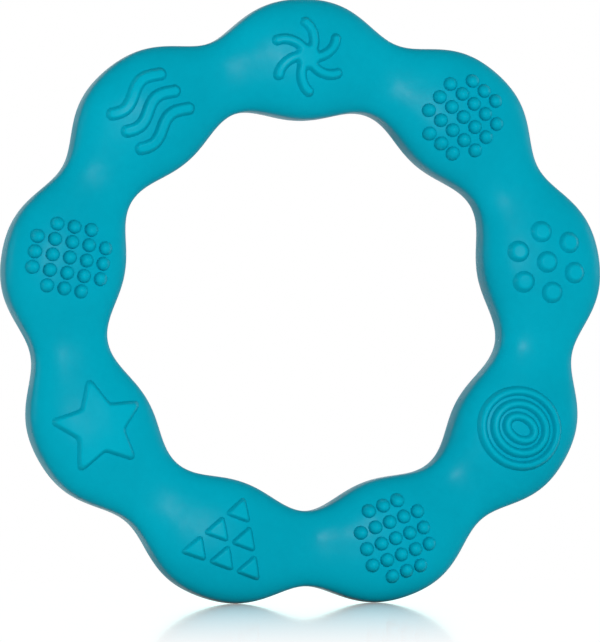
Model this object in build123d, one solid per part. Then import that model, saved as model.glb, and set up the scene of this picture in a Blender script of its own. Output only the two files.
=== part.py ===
from build123d import *
import os
from math import atan2, cos, degrees, hypot, pi, radians, sin

# A one-piece soft ring for a teething baby, with nine swollen lobes joined by
# slimmer necks, and a different raised pattern on each lobe.
#
# Everything is drawn lying flat first: the ring's axis is Z, its front face
# looks along +Z, and the pattern being drawn sits on the lobe that points
# along +Y. At the end the ring is stood on edge: front face along -Y, and
# the floor at Z = 0 under its two lowest lobes. Lengths are in millimetres.

# --- the ring ---
LOBES = 9
LOBE_PITCH = 360 / LOBES
LOBE_OUTER_R = 50.7
LOBE_INNER_R = 30.7
NECK_OUTER_R = 46.0
NECK_INNER_R = 33.6
LOBE_HALF_DEPTH = 6.2
NECK_HALF_DEPTH = 4.5
SIDE_LAND_HALF = 1.6        # half the flat band round the rim and round the hole
SECTION_POWER = 2.35        # 2 would be an ellipse, more is boxier
OUTER_FULLNESS = 0.08       # how far the outline is squarer than a cosine wave
INNER_FULLNESS = 0.028
DEPTH_FULLNESS = 0.05
SECTION_STEP = 2.5          # degrees between the sections of one lobe
ARCH_POINTS = 11            # points along one face of a section

# --- the raised patterns ---
PATTERN_R = 40.8            # from the ring's axis to the middle of a pattern
RELIEF = 1.0                # how far a pattern stands out of the lobe

NUB_R = 1.15
NUB_HEIGHT = 1.45
NUB_PITCH_OUT = 2.85        # away from the ring's axis
NUB_PITCH_ROUND = 2.55      # round the ring
NUB_ROWS = 5

DOT_R = 1.6
DOT_CIRCLE_R = 5.1
DOTS_ROUND = 6

ARMS = 6
ARM_TIP_R = 5.7
ARM_WIDTH = 1.45
ARM_TIP_TURN = 32           # degrees from the +X direction to the first tip
ARM_MIDDLE_R = 3.35
ARM_LAG = 20                # degrees by which the middle trails the tip
HUB_R = 1.95

WAVES = 3
WAVE_PITCH = 3.65
WAVE_LENGTH = 10.3
WAVE_SWING = 0.95
WAVE_SHIFT = 0.5
WAVE_WIDTH = 1.8
WAVE_POINTS = 9

STAR_TIP_R = 7.5
STAR_NOTCH_R = 3.95
STAR_POINTS = 5
STAR_TIP_ROUND = 0.5

TRIANGLE_ROWS = 3
TRIANGLE_PITCH = 4.8
TRIANGLE_R = 2.4
TRIANGLE_ROUND = 0.35

OVAL_RIDGE = 1.45
OVALS = [(6.1, 6.5), (4.0, 4.45), (1.83, 2.5)]     # half widths: round, outwards

# Which pattern each lobe carries: the lobe's angle from +X seen from the
# front, then how far the pattern sits off the lobe's middle, clockwise round
# the ring and outwards.
PATTERN_PLACES = {
    "dots_right": (10, -0.2, -0.1),
    "nubs_upper_right": (50, -0.15, -0.3),
    "pinwheel_top": (90, -0.3, 0.0),
    "waves_upper_left": (130, 0.0, 0.75),
    "nubs_left": (170, 0.6, 0.1),
    "star_lower_left": (210, 0.55, -0.3),
    "triangles_bottom_left": (250, -0.15, 0.45),
    "nubs_bottom_right": (290, -0.05, -0.15),
    "ovals_lower_right": (330, -0.15, -0.1),
}


def swell(turn, fullness):
    """1 on the crest of a lobe and 0 in a neck; turn is degrees from the crest."""
    wave = radians(LOBES * turn)
    return 0.5 + 0.5 * cos(wave) + fullness * (1 - cos(2 * wave))


def rim_radius(turn):
    return NECK_OUTER_R + (LOBE_OUTER_R - NECK_OUTER_R) * swell(turn, OUTER_FULLNESS)


def hole_radius(turn):
    return NECK_INNER_R - (NECK_INNER_R - LOBE_INNER_R) * swell(turn, INNER_FULLNESS)


def half_depth(turn):
    return NECK_HALF_DEPTH + (LOBE_HALF_DEPTH - NECK_HALF_DEPTH) * swell(turn, DEPTH_FULLNESS)


def arch_height(across, turn, grow=0.0):
    """Height of the front face above the ring's middle plane.

    across runs from -1 at the hole's wall to 1 at the rim.
    """
    rise = half_depth(turn) + grow - SIDE_LAND_HALF
    return SIDE_LAND_HALF + rise * (1 - abs(across) ** SECTION_POWER) ** (1 / SECTION_POWER)


def face_height(x, y):
    """Height of the front face under a point of the lobe that points along +Y."""
    turn = degrees(atan2(x, y))
    middle = (rim_radius(turn) + hole_radius(turn)) / 2
    half_width = (rim_radius(turn) - hole_radius(turn)) / 2
    return arch_height((hypot(x, y) - middle) / half_width, turn)


def section(turn, grow=0.0):
    """The ring's cross-section at one angle, grown all round by grow."""
    middle = (rim_radius(turn) + hole_radius(turn)) / 2
    half_width = (rim_radius(turn) - hole_radius(turn)) / 2 + grow
    arch = []
    for i in range(ARCH_POINTS):
        angle = pi * i / (ARCH_POINTS - 1)
        lean = cos(angle)
        across = (1 if lean >= 0 else -1) * abs(lean) ** (2 / SECTION_POWER)
        arch.append((middle + half_width * across, arch_height(across, turn, grow)))
    front = Spline(*arch, tangents=[(0, 1), (0, -1)])
    back = Spline(*[(x, -y) for x, y in arch], tangents=[(0, -1), (0, 1)])
    rim = Line(back @ 0, front @ 0)
    hole = Line(front @ 1, back @ 1)
    outline = Wire([rim, front, hole, back])
    # The section's own X points away from the ring's axis and its Y along it.
    outwards = Vector(sin(radians(turn)), cos(radians(turn)), 0)
    plane = Plane(origin=(0, 0, 0), x_dir=outwards, z_dir=outwards.cross(Vector(0, 0, 1)))
    return plane.from_local_coords(outline)


def lobe(grow=0.0):
    """One lobe from neck to neck, on the +Y axis."""
    steps = round(LOBE_PITCH / SECTION_STEP)
    turns = [-LOBE_PITCH / 2 + SECTION_STEP * i for i in range(steps + 1)]
    return Solid.make_loft([section(turn, grow) for turn in turns])


def ring_body(one_lobe):
    body = one_lobe
    for i in range(1, LOBES):
        body = body.fuse(one_lobe.rotate(Axis.Z, LOBE_PITCH * i))
    return body


class Spot:
    """The spot on a lobe where a pattern goes, with the two ways to build there."""

    def __init__(self, shift_round, shift_out, skin, one_lobe):
        self.x = shift_round
        self.y = PATTERN_R + shift_out
        self.skin = skin
        self.one_lobe = one_lobe

    def raised(self, outline):
        """A flat outline made into relief that follows the lobe's face."""
        column = extrude(Pos(self.x, self.y, 0) * outline, amount=LOBE_HALF_DEPTH + 2 * RELIEF)
        return ((column & self.skin) - self.one_lobe).solids()

    def half_egg(self, x, y, radius, height):
        """An egg sunk in the face so that half of it stands out."""
        middle = (self.x + x, self.y + y, face_height(self.x + x, self.y + y))
        egg = scale(Sphere(radius), by=(1, 1, height / radius))
        return (Pos(*middle) * egg - self.one_lobe).solids()


def polar(radius, angle):
    return (radius * cos(radians(angle)), radius * sin(radians(angle)))


def nubs(spot):
    """Rows of round-topped nubs, with the four corners left out."""
    reach = (NUB_ROWS - 1) // 2
    solids = []
    for i in range(-reach, reach + 1):
        for j in range(-reach, reach + 1):
            if abs(i) + abs(j) < 2 * reach:
                x = i * NUB_PITCH_ROUND
                y = j * NUB_PITCH_OUT
                solids += spot.half_egg(x, y, NUB_R, NUB_HEIGHT)
    return solids


def dots(spot):
    """One flat button with six more round it."""
    solids = spot.raised(Circle(DOT_R))
    for i in range(DOTS_ROUND):
        place = Pos(*polar(DOT_CIRCLE_R, 360 / DOTS_ROUND * i))
        solids += spot.raised(place * Circle(DOT_R))
    return solids


def pinwheel(spot):
    """Curved arms that leave a small hub."""
    outline = Circle(HUB_R)
    for i in range(ARMS):
        tip = ARM_TIP_TURN + 360 / ARMS * i
        spine = ThreePointArc((0, 0), polar(ARM_MIDDLE_R, tip - ARM_LAG), polar(ARM_TIP_R, tip))
        outline += SlotArc(spine, ARM_WIDTH)
    return spot.raised(outline)


def wavy_bar(offset):
    """The outline of one bar that is bent into a full wave, with round ends."""
    upper = []
    lower = []
    for k in range(WAVE_POINTS):
        x = WAVE_LENGTH * (k / (WAVE_POINTS - 1) - 0.5)
        phase = 2 * pi * (x + WAVE_SHIFT) / WAVE_LENGTH
        spine = Vector(x, offset + WAVE_SWING * sin(phase), 0)
        along = Vector(1, WAVE_SWING * cos(phase) * 2 * pi / WAVE_LENGTH, 0).normalized()
        side = Vector(-along.Y, along.X, 0) * (WAVE_WIDTH / 2)
        upper.append(spine + side)
        lower.append(spine - side)
        if k == 0:
            start = spine - along * (WAVE_WIDTH / 2)
    end = spine + along * (WAVE_WIDTH / 2)
    edges = [
        Spline(*upper),
        ThreePointArc(upper[-1], end, lower[-1]),
        Spline(*lower),
        ThreePointArc(lower[0], start, upper[0]),
    ]
    return make_face(edges)


def waves(spot):
    """Wavy bars side by side."""
    solids = []
    for i in range(WAVES):
        solids += spot.raised(wavy_bar((i - (WAVES - 1) / 2) * WAVE_PITCH))
    return solids


def star(spot):
    """A five-pointed star with one tip towards the ring's hole."""
    corners = []
    for i in range(2 * STAR_POINTS):
        radius = STAR_NOTCH_R if i % 2 else STAR_TIP_R
        corners.append(polar(radius, -90 + 180 / STAR_POINTS * i))
    outline = make_face(Polyline(*corners, close=True))
    tips = [v for v in outline.vertices() if hypot(v.X, v.Y) > STAR_NOTCH_R + 1]
    return spot.raised(fillet(tips, STAR_TIP_ROUND))


def triangles(spot):
    """Small triangles in rows of one, two and three, apex towards the hole."""
    small = RegularPolygon(TRIANGLE_R, 3, rotation=-90)
    small = fillet(small.vertices(), TRIANGLE_ROUND)
    row_height = TRIANGLE_PITCH * sin(radians(60))
    apex = -row_height * (TRIANGLE_ROWS - 1) * 2 / 3
    solids = []
    for row in range(TRIANGLE_ROWS):
        for i in range(row + 1):
            place = Pos((i - row / 2) * TRIANGLE_PITCH, apex + row * row_height)
            solids += spot.raised(place * small)
    return solids


def ovals(spot):
    """Three oval ridges, one inside the other."""
    solids = []
    for half_round, half_out in OVALS:
        outer = Ellipse(half_round + OVAL_RIDGE / 2, half_out + OVAL_RIDGE / 2)
        inner = Ellipse(half_round - OVAL_RIDGE / 2, half_out - OVAL_RIDGE / 2)
        solids += spot.raised(outer - inner)
    return solids


MAKERS = {
    "dots": dots,
    "nubs": nubs,
    "pinwheel": pinwheel,
    "waves": waves,
    "star": star,
    "triangles": triangles,
    "ovals": ovals,
}


def stand_height():
    """From the ring's axis down to the floor that its two lowest lobes touch."""
    lean = LOBE_PITCH / 2
    turns = [lean * i / 1000 for i in range(1001)]
    return max(rim_radius(turn) * cos(radians(lean - turn)) for turn in turns)


def write(name, shape, upright):
    export_step(upright * shape, f"parts/{name}.step")


os.makedirs("parts", exist_ok=True)
stand = stand_height()
upright = Location((0, 0, stand), (90, 0, 0))
print("axis height above the floor:", round(stand, 3))

one_lobe = lobe()
skin = lobe(RELIEF)
write("ring_body", ring_body(one_lobe), upright)

for name, (angle, shift_round, shift_out) in PATTERN_PLACES.items():
    make = MAKERS[name.split("_")[0]]
    relief = Compound(make(Spot(shift_round, shift_out, skin, one_lobe)))
    relief = relief.rotate(Axis.Z, angle - 90)
    write(f"front_{name}", relief, upright)
    write(f"back_{name}", relief.mirror(Plane.XY), upright)
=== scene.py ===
# %% [markdown]
# # A soft nine-lobed teething ring
#
# This lesson builds one moulded silicone ring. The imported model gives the
# frame that everything lies in: the ring stands on edge, its axis runs
# along Y, its front face looks along -Y, and the floor is at Z = 0.

# %% Load the frame
from math import cos, pi, radians, sin

import bpy
import numpy as np
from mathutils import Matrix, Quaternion, Vector


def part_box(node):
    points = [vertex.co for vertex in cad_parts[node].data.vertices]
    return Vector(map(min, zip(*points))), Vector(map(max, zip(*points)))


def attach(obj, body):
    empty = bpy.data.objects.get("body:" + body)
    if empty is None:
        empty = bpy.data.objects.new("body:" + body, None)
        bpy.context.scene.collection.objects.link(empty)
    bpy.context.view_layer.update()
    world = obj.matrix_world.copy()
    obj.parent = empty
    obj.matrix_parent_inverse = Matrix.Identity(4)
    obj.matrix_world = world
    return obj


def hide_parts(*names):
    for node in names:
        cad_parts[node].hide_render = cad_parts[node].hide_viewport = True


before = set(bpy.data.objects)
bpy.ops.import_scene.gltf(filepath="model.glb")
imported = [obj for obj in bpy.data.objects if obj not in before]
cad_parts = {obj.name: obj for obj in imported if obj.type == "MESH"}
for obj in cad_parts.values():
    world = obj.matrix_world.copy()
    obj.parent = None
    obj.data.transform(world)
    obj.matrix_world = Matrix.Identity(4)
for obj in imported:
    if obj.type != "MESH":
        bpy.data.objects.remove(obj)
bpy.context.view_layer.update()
MM = 0.001

# %% [markdown]
# ## The sizes of the moulding
#
# A mould maker would give the ring by a few sizes: how far the lobes and
# the necks reach from the axis, how deep they are, and how wide the flat
# band is that runs round the rim. The depths and the flat band are halves,
# counted from the ring's middle plane. Each pattern then sits on the crest
# of its lobe. The axis is above the origin, and its height comes from the
# top lobe, which points straight up.

# %% Name the sizes
LOBES = 9
RIM_AT_LOBE = 50.7 * MM
HOLE_AT_LOBE = 30.7 * MM
RIM_AT_NECK = 46.0 * MM
HOLE_AT_NECK = 33.6 * MM
DEPTH_AT_LOBE = 6.2 * MM
DEPTH_AT_NECK = 4.5 * MM
FLAT_BAND = 1.6 * MM
SECTION_POWER = 2.35
PATTERN_RADIUS = 40.8 * MM
RELIEF = 1.0 * MM

body_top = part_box("ring_body")[1][2]
AXIS_HEIGHT = body_top - RIM_AT_LOBE
print("the axis stands", round(AXIS_HEIGHT / MM, 2), "mm above the floor")

# %% [markdown]
# ## The camera
#
# The camera comes early, because every later choice is judged through it.
# A long lens from about a metre away flattens the ring, as catalogues like
# it. It stands low and a little to the left, so the left side wall of the
# ring just shows. The lens follows from how tall a view is wanted at the
# ring.

# %% Place the camera
CAMERA_DISTANCE = 1.0
CAMERA_LEFT = radians(12.9)
CAMERA_HEIGHT = 12 * MM
CAMERA_ROLL = radians(0.35)
AIM_LEFT = 0.5 * MM
AIM_BELOW_AXIS = 2.35 * MM
VIEW_HEIGHT = 105.7 * MM
SENSOR_SIZE = 36

aim = Vector((-AIM_LEFT, 0, AXIS_HEIGHT - AIM_BELOW_AXIS))
camera_data = bpy.data.cameras.new("camera")
camera = bpy.data.objects.new("camera", camera_data)
bpy.context.scene.collection.objects.link(camera)
camera.location = (
    aim.x - CAMERA_DISTANCE * sin(CAMERA_LEFT),
    -CAMERA_DISTANCE * cos(CAMERA_LEFT),
    CAMERA_HEIGHT,
)
sight = aim - camera.location
level = sight.to_track_quat("-Z", "Y")
camera.rotation_euler = (level @ Quaternion((0, 0, 1), -CAMERA_ROLL)).to_euler()
camera_data.sensor_width = SENSOR_SIZE
camera_data.lens = SENSOR_SIZE * sight.length / VIEW_HEIGHT
bpy.context.scene.camera = camera
print("lens:", round(camera_data.lens), "mm")

# %% [markdown]
# ## Sums as nodes
#
# The ring's shape is a rule, so Geometry Nodes can make it. A rule with
# twenty sums is slow to wire up by hand. This small class lets a socket be
# added, multiplied or raised like a number, and each step becomes one Math
# node in the tree. Two helpers start a tree with named inputs and add a node
# with its links.


# %% A socket that can be reckoned with
class Sum:
    """A node socket that can be reckoned with like a number."""

    def __init__(self, tree, socket):
        self.tree = tree
        self.socket = socket

    def math(self, operation, *others, turned=False):
        """One Math node; turned puts this socket last instead of first."""
        node = self.tree.nodes.new("ShaderNodeMath")
        node.operation = operation
        values = [self, *others]
        if turned:
            values.reverse()
        for slot, value in zip(node.inputs, values):
            if isinstance(value, Sum):
                self.tree.links.new(value.socket, slot)
            else:
                slot.default_value = value
        return Sum(self.tree, node.outputs[0])

    def __add__(self, other):
        return self.math("ADD", other)

    def __sub__(self, other):
        return self.math("SUBTRACT", other)

    def __rsub__(self, other):
        return self.math("SUBTRACT", other, turned=True)

    def __mul__(self, other):
        return self.math("MULTIPLY", other)

    def __truediv__(self, other):
        return self.math("DIVIDE", other)

    def __pow__(self, other):
        return self.math("POWER", other)

    def between(self, low, high):
        return self.math("MAXIMUM", low).math("MINIMUM", high)


def new_tree(name, inputs, outputs=(("Geometry", "NodeSocketGeometry", None),)):
    """A node tree with named inputs: (name, socket type, default)."""
    tree = bpy.data.node_groups.new(name, "GeometryNodeTree")
    for title, kind, default in inputs:
        socket = tree.interface.new_socket(title, in_out="INPUT", socket_type=kind)
        if default is not None:
            socket.default_value = default
    for title, kind, _ in outputs:
        tree.interface.new_socket(title, in_out="OUTPUT", socket_type=kind)
    ins = tree.nodes.new("NodeGroupInput")
    outs = tree.nodes.new("NodeGroupOutput")
    return tree, ins, outs


def add(tree, kind, links=(), **settings):
    """Adds a node, sets its properties, and links {input: socket} pairs."""
    node = tree.nodes.new(kind)
    for key, value in settings.items():
        setattr(node, key, value)
    for slot, value in dict(links).items():
        if isinstance(value, Sum):
            value = value.socket
        if isinstance(value, bpy.types.NodeSocket):
            tree.links.new(value, node.inputs[slot])
        else:
            node.inputs[slot].default_value = value
    return node


print("sums can be written as nodes")

# %% [markdown]
# ## The rule of the ring
#
# Going round the ring, the outline swells and slims nine times. A plain
# cosine gives necks and lobes of the same length; the real lobes are fuller
# than the necks, and a second, faster cosine adds that. The rule is one
# node group, because the body and all the patterns have to agree on it.

# %% Build the rule as a node group
FLOAT = "NodeSocketFloat"
RIM_FULLNESS = 0.08
HOLE_FULLNESS = 0.028
DEPTH_FULLNESS = 0.05
rule, rule_in, rule_out = new_tree(
    "ring rule",
    [
        ("Turn", FLOAT, 0.0),
        ("Lobes", FLOAT, float(LOBES)),
        ("Rim at lobe", FLOAT, RIM_AT_LOBE),
        ("Rim at neck", FLOAT, RIM_AT_NECK),
        ("Hole at lobe", FLOAT, HOLE_AT_LOBE),
        ("Hole at neck", FLOAT, HOLE_AT_NECK),
        ("Depth at lobe", FLOAT, DEPTH_AT_LOBE),
        ("Depth at neck", FLOAT, DEPTH_AT_NECK),
    ],
    [("Middle", FLOAT, None), ("Half width", FLOAT, None), ("Half depth", FLOAT, None)],
)


def of_rule(name):
    return Sum(rule, rule_in.outputs[name])


def swelling(at_neck, at_lobe, fullness):
    """A size that goes from its value in a neck to its value on a crest."""
    wave = of_rule("Turn") * of_rule("Lobes")
    slow = wave.math("COSINE") * 0.5 + 0.5
    fast = (1.0 - (wave * 2.0).math("COSINE")) * fullness
    neck = of_rule(at_neck)
    return neck + (of_rule(at_lobe) - neck) * (slow + fast)


rim = swelling("Rim at neck", "Rim at lobe", RIM_FULLNESS)
hole = swelling("Hole at neck", "Hole at lobe", HOLE_FULLNESS)
depth = swelling("Depth at neck", "Depth at lobe", DEPTH_FULLNESS)
rule.links.new(((rim + hole) * 0.5).socket, rule_out.inputs["Middle"])
rule.links.new(((rim - hole) * 0.5).socket, rule_out.inputs["Half width"])
rule.links.new(depth.socket, rule_out.inputs["Half depth"])
print("the rule has", len(rule.nodes), "nodes")

# %% [markdown]
# ## The body
#
# A flat grid is rolled up twice: once round the ring and once round its
# cross-section. The section is a squarish oval, a superellipse, with a flat
# band at the rim and round the hole. After the roll the two pairs of edges
# meet, and Merge by Distance closes them.

# %% Build the tree of the body
ROUND_STEPS = 48 * LOBES
SECTION_STEPS = 112
BAND_CROSSING = 6.0
JOIN_WITHIN = 0.001 * MM


def finish(tree, outs, geometry, material):
    """The end of every tree here: real, smooth faces with their material."""
    real = add(tree, "GeometryNodeRealizeInstances", {"Geometry": geometry})
    smooth = add(tree, "GeometryNodeSetShadeSmooth", {"Geometry": real.outputs[0]})
    painted = add(tree, "GeometryNodeSetMaterial", {
        "Geometry": smooth.outputs[0],
        "Material": material,
    })
    tree.links.new(painted.outputs[0], outs.inputs[0])


def body_tree(material):
    """The tree that rolls a grid up into the ring's body."""
    tree, ins, outs = new_tree(
        "ring body",
        [
            ("Geometry", "NodeSocketGeometry", None),
            ("Steps round the ring", "NodeSocketInt", ROUND_STEPS),
            ("Steps round the section", "NodeSocketInt", SECTION_STEPS),
            ("Flat band", FLOAT, FLAT_BAND),
            ("Squareness", FLOAT, SECTION_POWER),
            ("Axis height", FLOAT, AXIS_HEIGHT),
        ],
    )

    def value(name):
        return Sum(tree, ins.outputs[name])

    grid = add(tree, "GeometryNodeMeshGrid", {
        "Size X": 1.0,
        "Size Y": 1.0,
        "Vertices X": value("Steps round the ring") + 1.0,
        "Vertices Y": value("Steps round the section") + 1.0,
    })
    where = add(tree, "GeometryNodeInputPosition")
    split = add(tree, "ShaderNodeSeparateXYZ", {"Vector": where.outputs[0]})
    turn = Sum(tree, split.outputs["X"]) * (2 * pi)
    roll = Sum(tree, split.outputs["Y"]) * (2 * pi)
    sizes = add(tree, "GeometryNodeGroup", node_tree=rule)
    tree.links.new(turn.socket, sizes.inputs["Turn"])

    def squarish(wave):
        power = value("Squareness").math("DIVIDE", 2.0, turned=True)
        return wave.math("SIGN") * wave.math("ABSOLUTE") ** power

    lean = roll.math("COSINE")
    rise = roll.math("SINE")
    radius = Sum(tree, sizes.outputs["Middle"]) + (
        Sum(tree, sizes.outputs["Half width"]) * squarish(lean))
    # The flat band is crossed quickly, where the section's wall is steepest.
    band = value("Flat band") * (rise * BAND_CROSSING).between(-1.0, 1.0)
    dome = Sum(tree, sizes.outputs["Half depth"]) - value("Flat band")
    height = band + dome * squarish(rise)
    place = add(tree, "ShaderNodeCombineXYZ", {
        "X": radius * turn.math("SINE"),
        "Y": height * -1.0,
        "Z": value("Axis height") + radius * turn.math("COSINE"),
    })
    moved = add(tree, "GeometryNodeSetPosition", {
        "Geometry": grid.outputs["Mesh"],
        "Position": place.outputs[0],
    })
    closed = add(tree, "GeometryNodeMergeByDistance", {
        "Geometry": moved.outputs[0],
        "Distance": JOIN_WITHIN,
    })
    finish(tree, outs, closed.outputs[0], material)
    return tree


print("the body will have about", ROUND_STEPS * SECTION_STEPS * 2, "triangles")

# %% [markdown]
# ## From a tree to a plain piece
#
# A modifier is fine while shaping, but the finished piece should be a plain
# mesh. Inputs are set by the socket's identifier before Blender first works
# the tree out. If a rolled-up shape comes out inside out, its volume is
# negative, and its faces are flipped.


# %% Run a tree and keep the mesh
def signed_volume(mesh):
    """The volume inside a closed mesh, below zero where faces point inwards."""
    mesh.calc_loop_triangles()
    points = np.empty(len(mesh.vertices) * 3)
    mesh.vertices.foreach_get("co", points)
    corners = np.empty(len(mesh.loop_triangles) * 3, dtype=np.int32)
    mesh.loop_triangles.foreach_get("vertices", corners)
    a, b, c = points.reshape(-1, 3)[corners.reshape(-1, 3)].transpose(1, 0, 2)
    return float(np.einsum("ij,ij->i", a, np.cross(b, c)).sum() / 6)


def run_tree(name, tree, base=None, **inputs):
    """Runs the tree on a base mesh; inputs are its sockets' names in small letters."""
    base = base or bpy.data.meshes.new(name + " base")
    worker = bpy.data.objects.new(name + " worker", base)
    bpy.context.scene.collection.objects.link(worker)
    modifier = worker.modifiers.new("nodes", "NODES")
    modifier.node_group = tree
    for socket in tree.interface.items_tree:
        key = socket.name.replace(" ", "_").lower()
        if socket.in_out == "INPUT" and key in inputs:
            modifier[socket.identifier] = inputs[key]
    shaped = worker.evaluated_get(bpy.context.evaluated_depsgraph_get())
    mesh = bpy.data.meshes.new_from_object(shaped)
    bpy.data.objects.remove(worker)
    if signed_volume(mesh) < 0:
        mesh.flip_normals()
    piece = bpy.data.objects.new(name, mesh)
    bpy.context.scene.collection.objects.link(piece)
    return piece


print("trees can be run")

# %% [markdown]
# ## Silicone
#
# Moulded silicone is one colour all through, yet never looks flat. Light
# goes a millimetre or two into it, so its edges and relief are soft. Its
# skin is satin: it took the fine blasted grain of the mould, it has faint
# broad waves from shrinking, and handling leaves patches that are a little
# shinier. All of these are noise on Object coordinates, each at its own
# size, so they stay put on the ring. The raised patterns are painted a touch
# brighter, a painted highlight for the light their tops catch.

# %% Mix the silicone
TEAL = (0.0, 0.34, 0.46, 1.0)
TEAL_DEEP = (0.0, 0.32, 0.435, 1.0)
TEAL_PALE = (0.0, 0.36, 0.485, 1.0)
# Noise seldom leaves these ranges, so the full change is spread over them.
TINT_FROM, TINT_TO = 0.32, 0.68
PATCH_FROM, PATCH_TO = 0.3, 0.7
# Painted highlight: the raised patterns' colour is lifted for the light their tops catch.
RELIEF_PAINTED_LIGHT = 1.07
CLOUD_SIZE = 16 * MM
FLECK_SIZE = 1.2 * MM
FLECK_SHARE = 0.2
HANDLED_SIZE = 9 * MM
RUBBED_ROUGHNESS = 0.20
FRESH_ROUGHNESS = 0.42
GRAIN_SIZE = 0.28 * MM
GRAIN_DEPTH = 0.02 * MM
SHRINK_SIZE = 5 * MM
SHRINK_DEPTH = 0.25 * MM
BUMP_STRENGTH = 0.5


def noise(tree, coordinates, size, detail, rough=0.5):
    """Noise whose blobs are about size across, with finer noise on top."""
    return add(tree, "ShaderNodeTexNoise", {
        "Vector": coordinates,
        "Scale": 1 / size,
        "Detail": detail,
        "Roughness": rough,
    }).outputs["Fac"]


def lifted(colour, lift):
    """The same colour, brighter by the lift."""
    return tuple(c * lift for c in colour[:3]) + (1,)


def silicone(name, lift=1.0):
    """Teal silicone; a lift above 1 makes it brighter."""
    material = bpy.data.materials.new(name)
    material.use_nodes = True
    tree = material.node_tree
    shader = tree.nodes["Principled BSDF"]
    where = add(tree, "ShaderNodeTexCoord").outputs["Object"]

    cloud = noise(tree, where, CLOUD_SIZE, 3.0)
    fleck = noise(tree, where, FLECK_SIZE, 2.0)
    tint = Sum(tree, cloud) * (1 - FLECK_SHARE) + Sum(tree, fleck) * FLECK_SHARE
    ramp = add(tree, "ShaderNodeValToRGB", {"Fac": tint})
    deep, pale = ramp.color_ramp.elements
    deep.position = TINT_FROM
    deep.color = lifted(TEAL_DEEP, lift)
    pale.position = TINT_TO
    pale.color = lifted(TEAL_PALE, lift)
    middle = ramp.color_ramp.elements.new(0.5)
    middle.color = lifted(TEAL, lift)
    tree.links.new(ramp.outputs["Color"], shader.inputs["Base Color"])

    handled = noise(tree, where, HANDLED_SIZE, 4.0, 0.6)
    gloss = add(tree, "ShaderNodeMapRange", {
        "Value": handled,
        "From Min": PATCH_FROM,
        "From Max": PATCH_TO,
        "To Min": RUBBED_ROUGHNESS,
        "To Max": FRESH_ROUGHNESS,
    })
    tree.links.new(gloss.outputs["Result"], shader.inputs["Roughness"])

    grain = add(tree, "ShaderNodeBump", {
        "Height": noise(tree, where, GRAIN_SIZE, 3.0, 0.65),
        "Distance": GRAIN_DEPTH,
        "Strength": BUMP_STRENGTH,
    })
    shrink = add(tree, "ShaderNodeBump", {
        "Height": noise(tree, where, SHRINK_SIZE, 2.0),
        "Distance": SHRINK_DEPTH,
        "Strength": BUMP_STRENGTH,
        "Normal": grain.outputs["Normal"],
    })
    tree.links.new(shrink.outputs["Normal"], shader.inputs["Normal"])

    shader.inputs["IOR"].default_value = 1.41
    shader.inputs["Specular IOR Level"].default_value = 0.04
    shader.inputs["Subsurface Weight"].default_value = 0.06
    shader.inputs["Subsurface Radius"].default_value = (0.25, 0.9, 1.0)
    shader.inputs["Subsurface Scale"].default_value = 1.4 * MM
    return material


ring_silicone = silicone("teal silicone")
# The raised patterns get the lifted colour, a painted highlight.
relief_silicone_painted_light = silicone("teal silicone, raised, painted lighter", RELIEF_PAINTED_LIGHT)
print("mixed", ring_silicone.name, "and", relief_silicone_painted_light.name)

# %% [markdown]
# ## Mould the body
#
# The tree is run once and its mesh stands for the imported body.


# %% Make the body
def claim(piece, node):
    """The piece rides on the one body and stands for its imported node."""
    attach(piece, "root")
    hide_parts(node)


body = run_tree("silicone_ring", body_tree(ring_silicone))
claim(body, "ring_body")
volume_cm3 = signed_volume(body.data) * 1e6
print(body.name, len(body.data.polygons), "faces,", round(volume_cm3, 1), "cm3")

# %% [markdown]
# ## Lay a pattern on a lobe
#
# Each pattern is drawn flat first: X goes round the ring, Y goes outwards
# and Z is how far it stands out. A ray cast onto the body would find only
# its flat facets, and glossy relief shows them. So this group works out the
# face's height from the same rule as the body, and bends the flat drawing
# onto it exactly. The back is the front mirrored, so its faces are flipped.

# %% Build the group that lays a pattern
NEARLY_AT_RIM = 0.999
LAY_INPUTS = [
    ("Geometry", "NodeSocketGeometry", None),
    ("Lobe angle", FLOAT, 0.0),
    ("Side", FLOAT, 1.0),
    ("Shift clockwise", FLOAT, 0.0),
    ("Shift outwards", FLOAT, 0.0),
]
lay, lay_in, lay_out = new_tree(
    "lay on a lobe",
    LAY_INPUTS + [
        ("Pattern radius", FLOAT, PATTERN_RADIUS),
        ("Flat band", FLOAT, FLAT_BAND),
        ("Squareness", FLOAT, SECTION_POWER),
        ("Axis height", FLOAT, AXIS_HEIGHT),
    ],
)


def of_lay(name):
    return Sum(lay, lay_in.outputs[name])


flat = add(lay, "ShaderNodeSeparateXYZ", {
    "Vector": add(lay, "GeometryNodeInputPosition").outputs[0],
})
sideways = Sum(lay, flat.outputs["X"]) + of_lay("Shift clockwise")
outwards = Sum(lay, flat.outputs["Y"]) + of_lay("Pattern radius") + of_lay("Shift outwards")
reach = (sideways * sideways + outwards * outwards).math("SQRT")
turned = sideways.math("ARCTAN2", outwards)
local = add(lay, "GeometryNodeGroup", node_tree=rule)
lay.links.new(turned.socket, local.inputs["Turn"])
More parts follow.
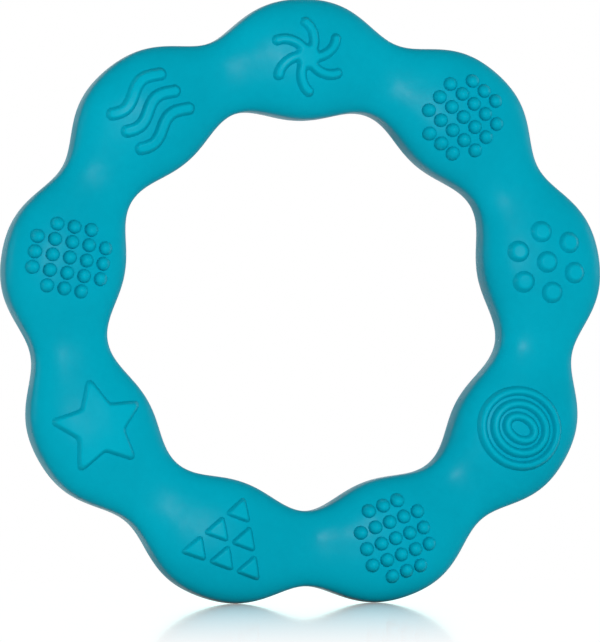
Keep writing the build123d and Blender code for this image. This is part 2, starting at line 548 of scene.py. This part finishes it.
# How far across the bar this is: 0 on its crest, 1 at the rim or the hole.
off_crest = (reach - Sum(lay, local.outputs["Middle"])).math("ABSOLUTE")
across = (off_crest / Sum(lay, local.outputs["Half width"])).between(0.0, NEARLY_AT_RIM)
drop = 1.0 - across ** of_lay("Squareness")
arch = drop ** of_lay("Squareness").math("DIVIDE", 1.0, turned=True)
band_top = of_lay("Flat band")
skin = band_top + (Sum(lay, local.outputs["Half depth"]) - band_top) * arch
bearing = of_lay("Lobe angle") - turned
laid_at = add(lay, "ShaderNodeCombineXYZ", {
    "X": reach * bearing.math("COSINE"),
    "Y": (skin + Sum(lay, flat.outputs["Z"])) * of_lay("Side") * -1.0,
    "Z": of_lay("Axis height") + reach * bearing.math("SINE"),
})
laid = add(lay, "GeometryNodeSetPosition", {
    "Geometry": lay_in.outputs["Geometry"],
    "Position": laid_at.outputs[0],
})
lay.links.new(laid.outputs[0], lay_out.inputs[0])
print("the laying group has", len(lay.nodes), "nodes")

# %% [markdown]
# ## Two trees that lay patterns
#
# Most patterns come as a flat drawing that is already in relief, so their
# tree only lays it and finishes it. The nubs come as points, so a second
# tree first puts an egg on each one.


# %% Make the two trees
EGG_ROUNDNESS = 4


def lay_and_finish(tree, ins, outs, geometry, material):
    """The part that both trees share: lay the geometry, then finish it."""
    group = add(tree, "GeometryNodeGroup", node_tree=lay)
    tree.links.new(geometry, group.inputs["Geometry"])
    for name, _, _ in LAY_INPUTS[1:]:
        tree.links.new(ins.outputs[name], group.inputs[name])
    finish(tree, outs, group.outputs[0], material)


def relief_tree(material):
    """Lays a mesh that is already in relief."""
    tree, ins, outs = new_tree("relief on a lobe", LAY_INPUTS)
    lay_and_finish(tree, ins, outs, ins.outputs["Geometry"], material)
    return tree


def dome_tree(material):
    """Puts an egg on every point of the base mesh, and lays them all."""
    tree, ins, outs = new_tree(
        "domes on a lobe",
        LAY_INPUTS + [
            ("Nub radius", FLOAT, MM),
            ("Nub height", FLOAT, MM),
            ("Roundness", "NodeSocketInt", EGG_ROUNDNESS),
        ],
    )
    ball = add(tree, "GeometryNodeMeshIcoSphere", {
        "Radius": ins.outputs["Nub radius"],
        "Subdivisions": ins.outputs["Roundness"],
    })
    nub_radius = Sum(tree, ins.outputs["Nub radius"])
    stretch = Sum(tree, ins.outputs["Nub height"]) / nub_radius
    scale = add(tree, "ShaderNodeCombineXYZ", {"X": 1.0, "Y": 1.0, "Z": stretch})
    egg = add(tree, "GeometryNodeTransform", {
        "Geometry": ball.outputs["Mesh"],
        "Scale": scale.outputs[0],
    })
    dotted = add(tree, "GeometryNodeInstanceOnPoints", {
        "Points": ins.outputs["Geometry"],
        "Instance": egg.outputs[0],
    })
    # Laying bends single corners, so the eggs are made real first.
    real = add(tree, "GeometryNodeRealizeInstances", {"Geometry": dotted.outputs[0]})
    lay_and_finish(tree, ins, outs, real.outputs[0], material)
    return tree


relief_on_lobe = relief_tree(relief_silicone_painted_light)
domes_on_lobe = dome_tree(relief_silicone_painted_light)
print("two laying trees are ready")

# %% [markdown]
# ## Draw relief by distance
#
# The star, triangles, bars, pinwheel and ovals could each be bevelled by
# hand, but rounded corners and places where arms run together are hard to
# bevel. Here a fine grid asks one question at each point: how far inside
# the pattern's edge am I? That distance sets the height, which rises over a
# soft shoulder to the full relief. The foot spreads a little past the edge,
# and from there a steep flank dives below the face. Points further out are
# left out, and the sheet is closed underneath, inside the body.

# %% Turn distances into a relief mesh
CELL = 0.09 * MM
HALF_DRAWING = 8.4 * MM
SHOULDER = 0.5 * MM
FOOT = 0.2 * MM
SUNK = 0.3 * MM
FLANK_SLOPE = 2.5
FAR = 1.0       # further than anything in the drawing

steps = int(round(2 * HALF_DRAWING / CELL)) + 1
line = np.linspace(-HALF_DRAWING, HALF_DRAWING, steps)
GX, GY = np.meshgrid(line, line, indexing="ij")


def relief_mesh(name, inside, shoulder):
    """Relief from the distance inside the pattern's edge at each grid point."""
    rise = np.clip((inside + FOOT) / (shoulder + FOOT), 0, 1)
    flank = (inside + FOOT) * FLANK_SLOPE
    z = np.where(inside > -FOOT, RELIEF * np.sin(rise * pi / 2), flank)
    z = np.maximum(z, -SUNK)
    high = z > -SUNK
    cell = high[:-1, :-1] | high[1:, :-1] | high[1:, 1:] | high[:-1, 1:]
    index = np.arange(steps * steps).reshape(steps, steps)
    corners = [index[:-1, :-1], index[1:, :-1], index[1:, 1:], index[:-1, 1:]]
    quads = np.stack(corners, -1)[cell]
    used, flat_quads = np.unique(quads, return_inverse=True)
    flat_quads = flat_quads.reshape(-1, 4)
    top = np.stack([GX.ravel()[used], GY.ravel()[used], z.ravel()[used]], -1)
    # Underneath, inner points get a copy further down, and edge points are shared.
    inner = high.ravel()[used]
    below = np.arange(len(used))
    below[inner] = len(used) + np.arange(inner.sum())
    under = top[inner].copy()
    under[:, 2] = -2 * SUNK
    points = np.concatenate([top, under])
    faces = np.concatenate([flat_quads, below[flat_quads][:, ::-1]])
    mesh = bpy.data.meshes.new(name)
    mesh.from_pydata(points.tolist(), [], faces.tolist())
    mesh.update()
    return mesh


def to_path(points):
    """The distance from each grid point to a line through the points."""
    nearest = np.full(GX.shape, FAR)
    for (ax, ay), (bx, by) in zip(points[:-1], points[1:]):
        dx, dy = bx - ax, by - ay
        share = np.clip(((GX - ax) * dx + (GY - ay) * dy) / (dx * dx + dy * dy), 0, 1)
        here = np.hypot(GX - ax - share * dx, GY - ay - share * dy)
        nearest = np.minimum(nearest, here)
    return nearest


def in_polygon(corners, rounding):
    """The distance inside a polygon whose outer corners are rounded."""
    odd = np.zeros(GX.shape, dtype=bool)
    for (ax, ay), (bx, by) in zip(corners, corners[1:] + corners[:1]):
        spans = (ay > GY) != (by > GY)
        with np.errstate(divide="ignore", invalid="ignore"):
            crosses = GX < (bx - ax) * (GY - ay) / (by - ay) + ax
        odd ^= spans & crosses
    edge = to_path(corners + corners[:1])
    return np.where(odd, edge, -edge) + rounding


def softened(inside, reach):
    """Rounds tips and notches alike, by averaging over a small bell curve."""
    cells = int(3 * reach / CELL)
    bell = np.exp(-0.5 * (np.arange(-cells, cells + 1) * CELL / reach) ** 2)
    bell /= bell.sum()
    for axis, margins in enumerate([((cells, cells), (0, 0)), ((0, 0), (cells, cells))]):
        padded = np.pad(inside, margins, "edge")
        inside = np.apply_along_axis(np.convolve, axis, padded, bell, "valid")
    return inside


def soft_union(a, b, blend):
    """The larger of two inside distances, with a fillet where they meet."""
    share = np.clip(0.5 + 0.5 * (a - b) / blend, 0, 1)
    return b * (1 - share) + a * share + blend * share * (1 - share)


def polar(radius, degrees_round):
    """X and Y of the point at this radius and angle from the X axis."""
    turn = radians(degrees_round)
    return (radius * cos(turn), radius * sin(turn))


print("the drawing grid has", steps, "lines each way")

# %% [markdown]
# ## The star and the triangles
#
# Both point a tip at the hole, which is straight down in the drawing.
# Rounding a corner by distance is simple: draw the shape a little small, then
# let its edge grow back.

# %% Draw the star and the triangles
TOWARDS_HOLE = -90
STAR_POINTS = 5
STAR_TIP = 7.65 * MM
STAR_NOTCH = 3.95 * MM
STAR_ROUNDING = 0.5 * MM
STAR_SOFTNESS = 0.36 * MM
TRIANGLE_ROWS = 3
TRIANGLE_PITCH = 4.8 * MM
TRIANGLE_RADIUS = 2.42 * MM
TRIANGLE_ROUNDING = 0.28 * MM
TRIANGLE_SOFTNESS = 0.22 * MM


def star():
    """One star, with its corners alternately at its tips and its notches."""
    corners = []
    for i in range(2 * STAR_POINTS):
        radius = STAR_NOTCH if i % 2 else STAR_TIP
        bearing = TOWARDS_HOLE + 180 / STAR_POINTS * i
        corners.append(polar(radius - STAR_ROUNDING, bearing))
    return softened(in_polygon(corners, STAR_ROUNDING), STAR_SOFTNESS)


def triangles():
    """Rows of one, two and three triangles, the single one nearest the hole."""
    row_height = TRIANGLE_PITCH * sin(radians(60))
    inside = np.full(GX.shape, -FAR)
    # A corner of 60 degrees draws back by twice its rounding.
    reach = TRIANGLE_RADIUS - 2 * TRIANGLE_ROUNDING
    # The middle of all the triangles lies two thirds of the way up the rows.
    middle_row = (TRIANGLE_ROWS - 1) * 2 / 3
    for row in range(TRIANGLE_ROWS):
        for i in range(row + 1):
            x = (i - row / 2) * TRIANGLE_PITCH
            y = (row - middle_row) * row_height
            corners = []
            for k in range(3):
                dx, dy = polar(reach, TOWARDS_HOLE + 120 * k)
                corners.append((x + dx, y + dy))
            inside = np.maximum(inside, in_polygon(corners, TRIANGLE_ROUNDING))
    return softened(inside, TRIANGLE_SOFTNESS)


triangle_count = TRIANGLE_ROWS * (TRIANGLE_ROWS + 1) // 2
print("a star of", STAR_POINTS, "points and", triangle_count, "triangles can be drawn")

# %% [markdown]
# ## The wavy bars, the pinwheel, the dots and the ovals
#
# These follow lines: a wave, a bent arm and an oval. The distance to the
# line, taken from half the bar's width, is the distance inside the bar, and
# its ends come out round by themselves. A dot is the same thing with a point
# for its line. The pinwheel's arms run into its hub with a fillet.

# %% Draw the bars, the pinwheel, the dots and the ovals
WAVE_STEPS = 32
WAVE_PITCH = 3.65 * MM
WAVE_LENGTH = 10.3 * MM
WAVE_SWING = 0.95 * MM
WAVE_SHIFT = 0.5 * MM
WAVE_HALF_WIDTH = 0.9 * MM
ARMS = 6
ARM_STEPS = 16
ARM_HALF_WIDTH = 0.72 * MM
ARM_TIP_RADIUS = 5.7 * MM
ARM_TIP_TURN = 32
ARM_LAG = 44
ARM_CURL = 0.85
ARM_FILLET = 0.35 * MM
HUB_RADIUS = 1.9 * MM
DOTS_ROUND = 6
DOT_RADIUS = 1.6 * MM
DOT_CIRCLE = 5.1 * MM
OVAL_STEPS = 72
RIDGE_HALF_WIDTH = 0.62 * MM
OVALS = [(6.1 * MM, 6.5 * MM), (4.0 * MM, 4.45 * MM), (1.83 * MM, 2.5 * MM)]


def waves():
    """Three bars, each one whole wave long."""
    inside = np.full(GX.shape, -FAR)
    xs = np.linspace(-WAVE_LENGTH / 2, WAVE_LENGTH / 2, WAVE_STEPS + 1)
    wave = WAVE_SWING * np.sin(2 * pi * (xs + WAVE_SHIFT) / WAVE_LENGTH)
    for row in (-1, 0, 1):
        path = list(zip(xs, row * WAVE_PITCH + wave))
        inside = np.maximum(inside, WAVE_HALF_WIDTH - to_path(path))
    return inside


def pinwheel():
    """Bent arms on a hub: towards the middle an arm lags behind its own tip."""
    inside = HUB_RADIUS - np.hypot(GX, GY)
    for i in range(ARMS):
        tip = ARM_TIP_TURN + 360 / ARMS * i
        arm = []
        for share in np.linspace(0, 1, ARM_STEPS + 1):
            bearing = tip - ARM_LAG * (1 - share) ** ARM_CURL
            arm.append(polar(ARM_TIP_RADIUS * share, bearing))
        inside = soft_union(inside, ARM_HALF_WIDTH - to_path(arm), ARM_FILLET)
    return inside


def dots():
    """One round button with a circle of them about it."""
    inside = DOT_RADIUS - np.hypot(GX, GY)
    for i in range(DOTS_ROUND):
        x, y = polar(DOT_CIRCLE, 360 / DOTS_ROUND * i)
        inside = np.maximum(inside, DOT_RADIUS - np.hypot(GX - x, GY - y))
    return inside


def ovals():
    """Oval ridges inside one another, a little longer outwards than round."""
    inside = np.full(GX.shape, -FAR)
    turn = np.linspace(0, 2 * pi, OVAL_STEPS + 1)
    for half_round, half_out in OVALS:
        path = list(zip(half_round * np.cos(turn), half_out * np.sin(turn)))
        inside = np.maximum(inside, RIDGE_HALF_WIDTH - to_path(path))
    return inside


print("the pinwheel has", ARMS, "arms, and the ovals are", len(OVALS), "ridges")

# %% [markdown]
# ## The nubs
#
# A nub is an egg sunk half-way into the lobe, so what shows is a dome that is
# a little taller than a half ball. Only its place has to be listed: the base
# mesh is nothing but points, and the tree puts an egg on each.

# %% Place the nubs
NUB_PITCH_ROUND = 2.55 * MM
NUB_PITCH_OUT = 2.85 * MM
NUB_RADIUS = 1.15 * MM
NUB_HEIGHT = 1.45 * MM
NUB_REACH = 2


def nub_points():
    """A five by five patch without its corners."""
    points = []
    for i in range(-NUB_REACH, NUB_REACH + 1):
        for j in range(-NUB_REACH, NUB_REACH + 1):
            if abs(i) + abs(j) < 2 * NUB_REACH:
                points.append((i * NUB_PITCH_ROUND, j * NUB_PITCH_OUT, 0))
    return points


def point_mesh(name, points):
    """A mesh of loose points, with no edges or faces."""
    mesh = bpy.data.meshes.new(name)
    mesh.from_pydata(points, [], [])
    return mesh


print("a patch has", len(nub_points()), "nubs")

# %% [markdown]
# ## Put a pattern on every lobe
#
# Front and back carry the same nine patterns. Each becomes its own piece, so
# each can be swapped or repainted, though on the real ring they are all one
# moulding. A mould is cut by hand from a master, so no pattern sits quite on
# the middle of its lobe. Small shapes also have tighter shoulders than the
# rest, and the dots have the softest.

# %% Make the eighteen patterns
# Each place: the lobe's angle in degrees, then the shifts clockwise round the
# ring and outwards in millimetres.
PLACES = {
    "dots_right": (10, -0.2, -0.1),
    "nubs_upper_right": (50, -0.15, -0.3),
    "pinwheel_top": (90, -0.3, 0.0),
    "waves_upper_left": (130, 0.0, 0.75),
    "nubs_left": (170, 0.6, 0.1),
    "star_lower_left": (210, 0.55, -0.3),
    "triangles_bottom_left": (250, -0.15, 0.45),
    "nubs_bottom_right": (290, -0.05, -0.15),
    "ovals_lower_right": (330, -0.15, -0.1),
}
DRAWINGS = {
    "dots": dots(),
    "pinwheel": pinwheel(),
    "waves": waves(),
    "star": star(),
    "triangles": triangles(),
    "ovals": ovals(),
}
SHOULDERS = {"dots": 0.7 * MM, "triangles": 0.4 * MM}


def make_pattern(node, name, side):
    """The pattern's piece, where side is 1 on the front and -1 on the back."""
    kind = name.split("_")[0]
    lobe_angle, clockwise, outwards = PLACES[name]
    inputs = {
        "lobe_angle": radians(lobe_angle),
        "side": side,
        "shift_clockwise": clockwise * MM,
        "shift_outwards": outwards * MM,
    }
    if kind in DRAWINGS:
        shoulder = SHOULDERS.get(kind, SHOULDER)
        base = relief_mesh(node + " drawing", DRAWINGS[kind], shoulder)
        return run_tree(node + "_relief", relief_on_lobe, base, **inputs)
    base = point_mesh(node + " points", nub_points())
    inputs["nub_radius"] = NUB_RADIUS
    inputs["nub_height"] = NUB_HEIGHT
    return run_tree(node + "_relief", domes_on_lobe, base, **inputs)


for side_name, side in (("front", 1.0), ("back", -1.0)):
    for name in PLACES:
        node = f"{side_name}_{name}"
        pattern = make_pattern(node, name, side)
        claim(pattern, node)
        print(pattern.name, len(pattern.data.polygons), "faces")

# %% [markdown]
# ## The table
#
# The ring stands on a product table: a sheet of glossy white acrylic that is
# lit evenly from below, so it runs into the white room without a horizon.
# Close to the ring it also mirrors, and the image fades out further off. A
# plain emission shader mixed with a glossy one gives both, and the mix says
# where each of them shows.

# %% Lay the floor
WHITE = (1, 1, 1, 1)
FLOOR_HALF = 3.0
HELD_BACK = 0.72
SHADED_REACH = 0.045
SHADED_SHARE = 0.5
MIRROR_REACH = 0.40
MIRROR_SHARE = 0.8
MIRROR_ROUGHNESS = 0.03
HAZE_ROUGHNESS = 0.02
HAZE_SIZE = 20 * MM
# The mirrored image is a brighter teal than the ring itself.
MIRROR_TONE = (1.0, 1.45, 1.4, 1.0)


def floor_finish():
    """White acrylic that glows, and mirrors near the ring at a low look."""
    material = bpy.data.materials.new("white acrylic")
    material.use_nodes = True
    tree = material.node_tree
    tree.nodes.remove(tree.nodes["Principled BSDF"])
    where = add(tree, "ShaderNodeTexCoord").outputs["Object"]
    length = add(tree, "ShaderNodeVectorMath", {0: where}, operation="LENGTH")
    distance = Sum(tree, length.outputs["Value"])
    # The table looks white, but throws little light up at the ring.
    ray = add(tree, "ShaderNodeLightPath").outputs
    thrown = Sum(tree, ray["Is Diffuse Ray"])
    # It mirrors most at a grazing look; from higher up it shows a soft shade
    # where the ring touches it instead.
    look = add(tree, "ShaderNodeLayerWeight", {"Blend": 0.5}).outputs
    facing = Sum(tree, look["Facing"])
    grazing = facing * facing * facing * facing
    corners = add(tree, "ShaderNodeAmbientOcclusion", {"Distance": SHADED_REACH})
    closed_in = 1.0 - Sum(tree, corners.outputs["AO"])
    shade = closed_in * (1.0 - grazing) * SHADED_SHARE
    glow = add(tree, "ShaderNodeEmission", {
        "Color": WHITE,
        "Strength": 1.0 - thrown * HELD_BACK - shade,
    })
    haze = noise(tree, where, HAZE_SIZE, 2.0)
    mirror = add(tree, "ShaderNodeBsdfGlossy", {
        "Color": MIRROR_TONE,
        "Roughness": Sum(tree, haze) * HAZE_ROUGHNESS + MIRROR_ROUGHNESS,
    })
    near = (1.0 - distance / MIRROR_REACH).between(0.0, 1.0)
    mix = add(tree, "ShaderNodeMixShader", {
        0: near * MIRROR_SHARE * (1.0 - thrown) * grazing,
        1: glow.outputs[0],
        2: mirror.outputs[0],
    })
    tree.links.new(mix.outputs[0], tree.nodes["Material Output"].inputs["Surface"])
    return material


floor_corners = []
for x, y in ((-1, -1), (1, -1), (1, 1), (-1, 1)):
    floor_corners.append((x * FLOOR_HALF, y * FLOOR_HALF, 0))
floor_mesh = bpy.data.meshes.new("floor")
floor_mesh.from_pydata(floor_corners, [], [(0, 1, 2, 3)])
floor_mesh.materials.append(floor_finish())
floor = bpy.data.objects.new("floor", floor_mesh)
bpy.context.scene.collection.objects.link(floor)
print("the floor is", 2 * FLOOR_HALF, "m wide")

# %% [markdown]
# ## The light
#
# A wide, low soft box stands straight in front of the ring and lights what
# faces it, so the flanks of the lobes and the walls of the relief, up, down,
# left and right alike, fall off into a deeper teal and every pattern gets a
# dark outline. It leaves no shine: that comes from a small box above it,
# which puts a soft highlight on each slope that faces it. Boxes at
# both sides and behind keep the ring readable all round. The room is white
# where it is seen or mirrored, but it adds little light.

# %% Hang the lights
# Each box: its place and its width and height in metres, and its power in watts.
BOXES = {
    "front": ((-0.04, -1.25, 0.13), (0.6, 0.24), 13.9),
    "shine": ((-0.08, -1.2, 0.2), (0.14, 0.14), 7.0),
    "left": ((-1.2, 0.1, 0.25), (0.6, 0.6), 4.0),
    "right": ((1.2, 0.2, 0.25), (0.6, 0.6), 3.0),
    "back": ((0.22, 1.25, 0.3), (0.7, 0.7), 16.0),
}


def soft_box(name, place, size, power):
    """A rectangular light that looks at the middle of the ring."""
    light = bpy.data.lights.new(name, "AREA")
    light.shape = "RECTANGLE"
    light.size, light.size_y = size
    light.energy = power
    lamp = bpy.data.objects.new(name, light)
    lamp.location = place
    towards_ring = Vector((0, 0, AXIS_HEIGHT)) - Vector(place)
    lamp.rotation_euler = towards_ring.to_track_quat("-Z", "Y").to_euler()
    lamp.visible_camera = False
    bpy.context.scene.collection.objects.link(lamp)
    return lamp


lamps = {}
for box_name, (place, size, power) in BOXES.items():
    lamps[box_name] = soft_box(box_name + " box", place, size, power)
# These two are cross-polarised: they light the ring and leave no shine.
lamps["front"].visible_glossy = False
lamps["back"].visible_glossy = False
# The shine comes from a small box of its own, which adds no other light.
lamps["shine"].visible_diffuse = False
print("hung", len(lamps), "soft boxes")

# %% Whiten the room
ROOM_LIGHT = 0.12
ROOM_TINT = (0.9, 0.96, 1, 1)

world = bpy.data.worlds.new("studio")
bpy.context.scene.world = world
world.use_nodes = True
room = world.node_tree
white = room.nodes["Background"]
white.inputs["Color"].default_value = WHITE
white.inputs["Strength"].default_value = 1.0
lighting = add(room, "ShaderNodeBackground", {
    "Strength": ROOM_LIGHT,
    "Color": ROOM_TINT,
})
ray = add(room, "ShaderNodeLightPath").outputs
choose = add(room, "ShaderNodeMixShader", {
    0: Sum(room, ray["Is Camera Ray"]) + Sum(room, ray["Is Glossy Ray"]),
    1: lighting.outputs[0],
    2: white.outputs[0],
})
room.links.new(choose.outputs[0], room.nodes["World Output"].inputs["Surface"])
bpy.context.scene.view_settings.view_transform = "Standard"
print("the room lights the ring at", ROOM_LIGHT, "of its brightness")
